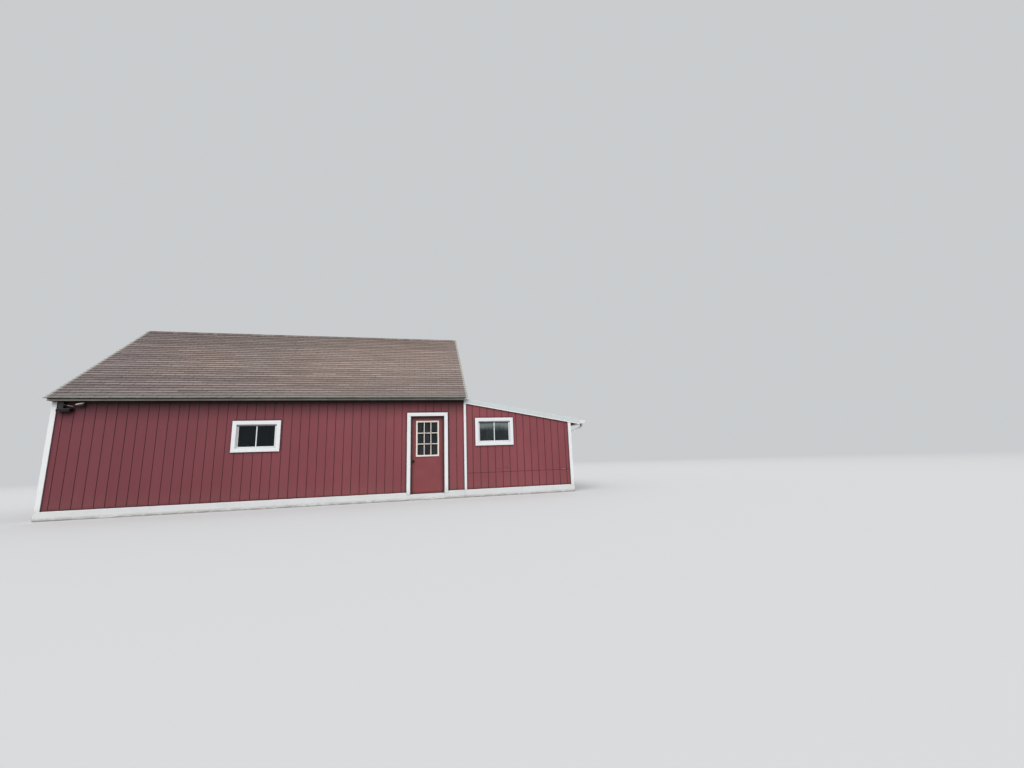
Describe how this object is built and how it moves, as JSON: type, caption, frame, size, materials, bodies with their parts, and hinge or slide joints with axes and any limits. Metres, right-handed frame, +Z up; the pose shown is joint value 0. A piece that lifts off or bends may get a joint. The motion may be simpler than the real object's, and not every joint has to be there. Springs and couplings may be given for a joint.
{
  "type": "timber-framed barn with lean-to",
  "caption": "Gabled timber barn with a lower lean-to, sliding windows, grooved red siding, white trim and a glazed front door that swings inwards.",
  "frame": {"origin": "on the ground, under the ridge, halfway along the whole footprint", "axes": "+X to the right along the front wall, +Y into the depth, +Z up"},
  "size_m": [12.774, 6.416, 5.1994],
  "materials": {
    "barn_red_siding": "painted plywood siding, weathered satin red",
    "white_trim": "painted boards, weathered white",
    "whitewashed_concrete": "painted concrete, scuffed and stained",
    "floor_concrete": "bare trowelled concrete",
    "framing_timber": "bare softwood, darkened with age",
    "roof_sheathing": "bare plywood",
    "brown_shingles": "asphalt shingles with mineral grit, brown and grey",
    "weathered_fascia": "weathered grey-brown paint",
    "white_gutter": "white enamelled sheet",
    "window_vinyl": "white window profile",
    "dark_glass": "clear pane over a dark room",
    "door_red": "smooth painted steel and frame, scuffed at the foot",
    "cream_lite_frame": "cream moulded frame",
    "dark_hardware": "dark oxidised metal",
    "steel_hinges": "dull steel",
    "dark_lamp": "dark painted housing"
  },
  "bodies": {
    "building": {"main_foundation": "whitewashed_concrete", "leanto_foundation": "whitewashed_concrete", "floor_slabs": "floor_concrete", "door_sill": "whitewashed_concrete", "front_wall_studs": "framing_timber", "back_wall_studs": "framing_timber", "left_gable_studs": "framing_timber", "right_gable_studs": "framing_timber", "door_headers": "framing_timber", "top_plates": "framing_timber", "gable_end_studs": "framing_timber", "leanto_wall_frames": "framing_timber", "leanto_side_frame": "framing_timber", "siding_front_left": "barn_red_siding", "siding_front_right": "barn_red_siding", "siding_over_door": "barn_red_siding", "siding_back": "barn_red_siding", "siding_left_gable": "barn_red_siding", "siding_right_gable_upper": "barn_red_siding", "siding_right_gable_lower": "barn_red_siding", "siding_leanto_front": "barn_red_siding", "siding_leanto_back": "barn_red_siding", "siding_leanto_side": "barn_red_siding", "rafters_back": "framing_timber", "rafters_front": "framing_timber", "ridge_board": "framing_timber", "collar_ties": "framing_timber", "roof_deck": "roof_sheathing", "shingles_back": "brown_shingles", "shingles_front": "brown_shingles", "ridge_cap": "brown_shingles", "eave_fascias": "weathered_fascia", "rake_boards": "white_trim", "leanto_ledger": "framing_timber", "leanto_rafters": "framing_timber", "leanto_deck": "roof_sheathing", "leanto_roofing": "brown_shingles", "leanto_rake_boards": "white_trim", "leanto_fascia": "white_trim", "gutter": "white_gutter", "downspout": "white_gutter", "corner_boards": "white_trim", "junction_boards": "white_trim", "window_casings": "white_trim", "window_frames": "window_vinyl", "window_glass": "dark_glass", "door_jambs": "door_red", "door_stops": "door_red", "door_casing": "white_trim", "hinge_jamb_leaves": "steel_hinges", "eave_lamp": "dark_lamp"},
    "front_door": {"door_leaf": "door_red", "door_lite_frame": "cream_lite_frame", "door_glass": "dark_glass", "door_knobs": "dark_hardware", "hinge_door_leaves": "steel_hinges"}
  },
  "joints": [
    {"name": "door_swing", "type": "hinge", "parent": "building", "child": "front_door", "pos_m": [2.4975, -2.936, 1.146], "axis": [0, 0, -1], "range_deg": [0, 105]}
  ]
}
